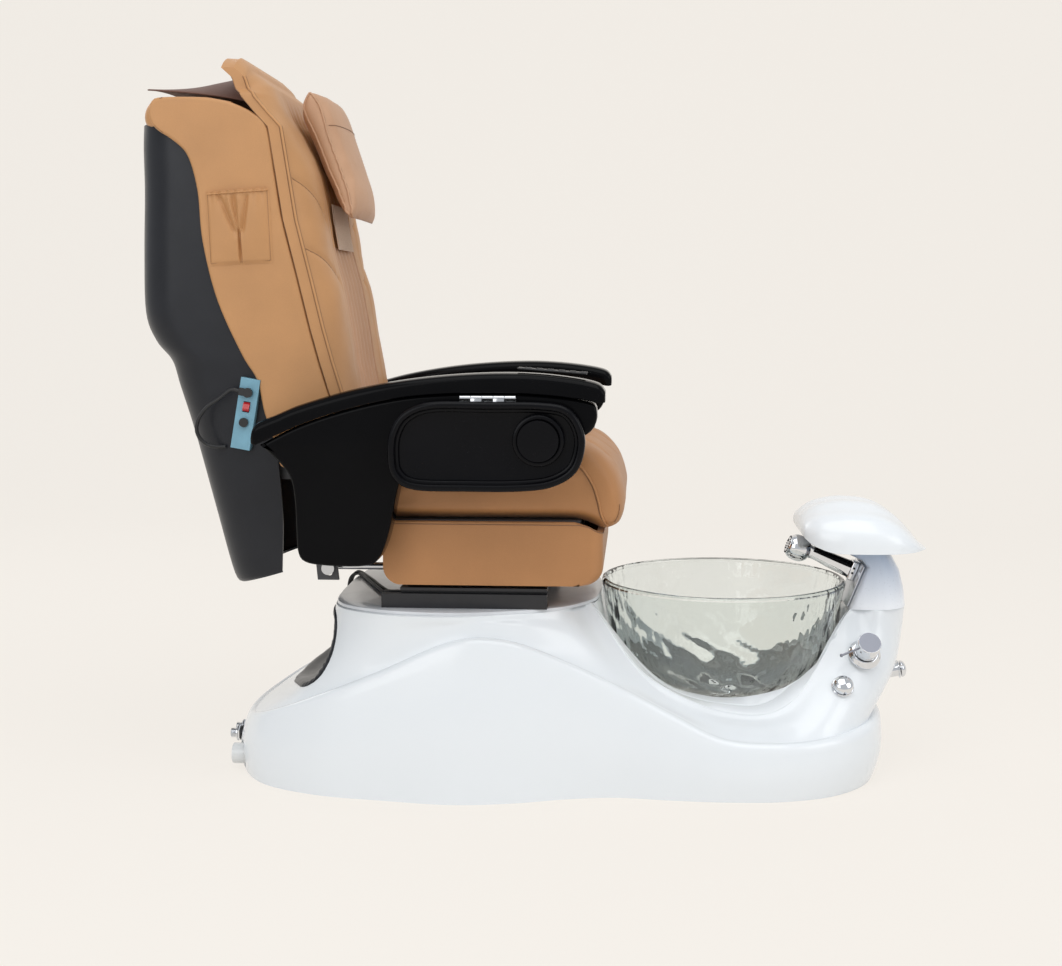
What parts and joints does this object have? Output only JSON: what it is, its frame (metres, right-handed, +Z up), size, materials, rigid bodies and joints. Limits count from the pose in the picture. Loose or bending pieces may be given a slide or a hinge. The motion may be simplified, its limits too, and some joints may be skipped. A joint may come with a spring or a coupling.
{
  "type": "pedicure spa chair",
  "caption": "Reclining massage seat on slide rails over a moulded spa base with a glass foot bowl, taps, hand spray, footrest, lifting arms and folding side trays.",
  "frame": {"origin": "on the floor, under the centre of the whole chair", "axes": "+X towards the foot end, +Y to the sitter's left, +Z up"},
  "size_m": [1.48, 0.744, 1.356],
  "materials": {
    "white_gelcoat": "gloss gelcoat",
    "deck_grey": "satin",
    "clear_glass": "hammered clear",
    "chrome": "polished",
    "white_pvc": "smooth",
    "frame_steel": "powder coat",
    "black_rubber": "matt",
    "black_steel": "semi gloss",
    "charcoal_plastic": "satin textured",
    "pearl_plastic": "pearl",
    "silver_plate": "satin",
    "brass_bush": "plain",
    "tan_leather": "fine grain",
    "rod_steel": "bright",
    "roller_plastic": "smooth",
    "pillow_leather": "fine grain",
    "pale_strap": "woven elastic",
    "dark_lining": "suede side",
    "blue_metal": "satin",
    "black_plastic": "satin",
    "red_plastic": "gloss",
    "gloss_black": "high gloss",
    "tray_black": "satin"
  },
  "bodies": {
    "base": {"base_shell": "white_gelcoat", "deck_plate": "deck_grey", "glass_bowl": "clear_glass", "bowl_cradle": "white_gelcoat", "drain_strainer": "chrome", "drain_pipe": "white_pvc", "water_inlets": "chrome", "base_frame": "frame_steel", "base_feet": "black_rubber", "slide_rails": "black_steel", "deck_cables": "black_rubber", "recess_liner": "charcoal_plastic", "column_cover": "pearl_plastic", "column_faceplate": "silver_plate", "spray_dock": "chrome", "footrest_guide": "frame_steel", "mixer_escutcheon": "chrome", "diverter_escutcheon": "chrome", "drain_knob_escutcheon": "chrome"},
    "mixer": {"mixer_cap": "chrome"},
    "diverter": {"diverter_knob": "chrome"},
    "drain_control": {"drain_knob": "chrome"},
    "spray": {"spray_handset": "chrome"},
    "foot_support": {"footrest": "white_gelcoat"},
    "seat": {"seat_carriage": "black_steel", "seat_frame": "frame_steel", "side_plates": "black_steel", "pivot_bolts": "brass_bush", "seat_box": "tan_leather", "seat_cushion": "tan_leather", "recline_actuator": "charcoal_plastic"},
    "rod": {"recline_rod": "rod_steel"},
    "back": {"back_frame": "frame_steel", "massage_rails": "rod_steel", "rear_shell": "charcoal_plastic", "back_cover": "tan_leather", "back_pad": "tan_leather", "head_pillow": "pillow_leather", "pillow_strap": "pale_strap", "top_flap": "dark_lining", "side_pocket": "tan_leather", "control_box": "blue_metal", "power_plug": "black_plastic", "signal_jack": "black_plastic", "control_cable": "black_rubber"},
    "carriage": {"massage_carriage": "charcoal_plastic"},
    "rollers": {"massage_rollers": "roller_plastic"},
    "rocker": {"rocker_switch": "red_plastic"},
    "arm_right": {"arm_right_body": "gloss_black", "arm_right_pad": "gloss_black", "arm_right_hinge": "rod_steel", "arm_right_keypad": "black_plastic"},
    "arm_left": {"arm_left_body": "gloss_black", "arm_left_pad": "gloss_black", "arm_left_hinge": "rod_steel"},
    "tray_right_body": {"tray_right": "tray_black"},
    "tray_left_body": {"tray_left": "tray_black"}
  },
  "joints": [
    {"name": "seat_slide", "type": "slide", "parent": "base", "child": "seat", "axis": [1, 0, 0], "range_m": [0, 0.09]},
    {"name": "back_recline", "type": "hinge", "parent": "seat", "child": "back", "pos_m": [-0.405, 0, 0.47], "axis": [0, -1, 0], "range_deg": [0, 18]},
    {"name": "recline_rod_slide", "type": "slide", "parent": "seat", "child": "rod", "axis": [1, 0, 0], "range_m": [0, 0.0198]},
    {"name": "massage_lift", "type": "slide", "parent": "back", "child": "carriage", "axis": [-0.2937, 0, 0.9559], "range_m": [0, 0.3]},
    {"name": "roller_spin", "type": "hinge", "parent": "carriage", "child": "rollers", "pos_m": [-0.43603, 0, 0.79], "axis": [0, 1, 0], "continuous": true},
    {"name": "rocker_tilt", "type": "hinge", "parent": "back", "child": "rocker", "pos_m": [-0.53574, -0.248, 0.7148], "axis": [0.9848, 0, -0.1736], "range_deg": [0, 16]},
    {"name": "arm_right_lift", "type": "hinge", "parent": "seat", "child": "arm_right", "pos_m": [-0.345, 0, 0.47], "axis": [0, -1, 0], "range_deg": [0, 60]},
    {"name": "arm_left_lift", "type": "hinge", "parent": "seat", "child": "arm_left", "pos_m": [-0.345, 0, 0.47], "axis": [0, -1, 0], "range_deg": [0, 60]},
    {"name": "tray_right_flip", "type": "hinge", "parent": "arm_right", "child": "tray_right_body", "pos_m": [-0.08, -0.343, 0.738], "axis": [-1, 0, 0], "range_deg": [0, 90]},
    {"name": "tray_left_flip", "type": "hinge", "parent": "arm_left", "child": "tray_left_body", "pos_m": [-0.08, 0.343, 0.738], "axis": [1, 0, 0], "range_deg": [0, 90]},
    {"name": "footrest_slide", "type": "slide", "parent": "base", "child": "foot_support", "axis": [1, 0, 0], "range_m": [0, 0.05]},
    {"name": "spray_pull", "type": "slide", "parent": "base", "child": "spray", "axis": [-0.9292, 0, 0.3695], "range_m": [0, 0.05]},
    {"name": "mixer_turn", "type": "hinge", "parent": "base", "child": "mixer", "pos_m": [0.6182, -0.1285, 0.2393], "axis": [0.1003, -0.7519, 0.6516], "range_deg": [-45, 45]},
    {"name": "diverter_turn", "type": "hinge", "parent": "base", "child": "diverter", "pos_m": [0.5722, -0.18, 0.1888], "axis": [0.1003, -0.7519, 0.6516], "range_deg": [-90, 90]},
    {"name": "drain_turn", "type": "hinge", "parent": "base", "child": "drain_control", "pos_m": [0.703, 0, 0.183], "axis": [0.9848, 0, 0.1736], "range_deg": [0, 90]}
  ],
  "couplings": [
    {"joint": "recline_rod_slide", "follows": "back_recline", "m_per_rad": 0.0618}
  ]
}
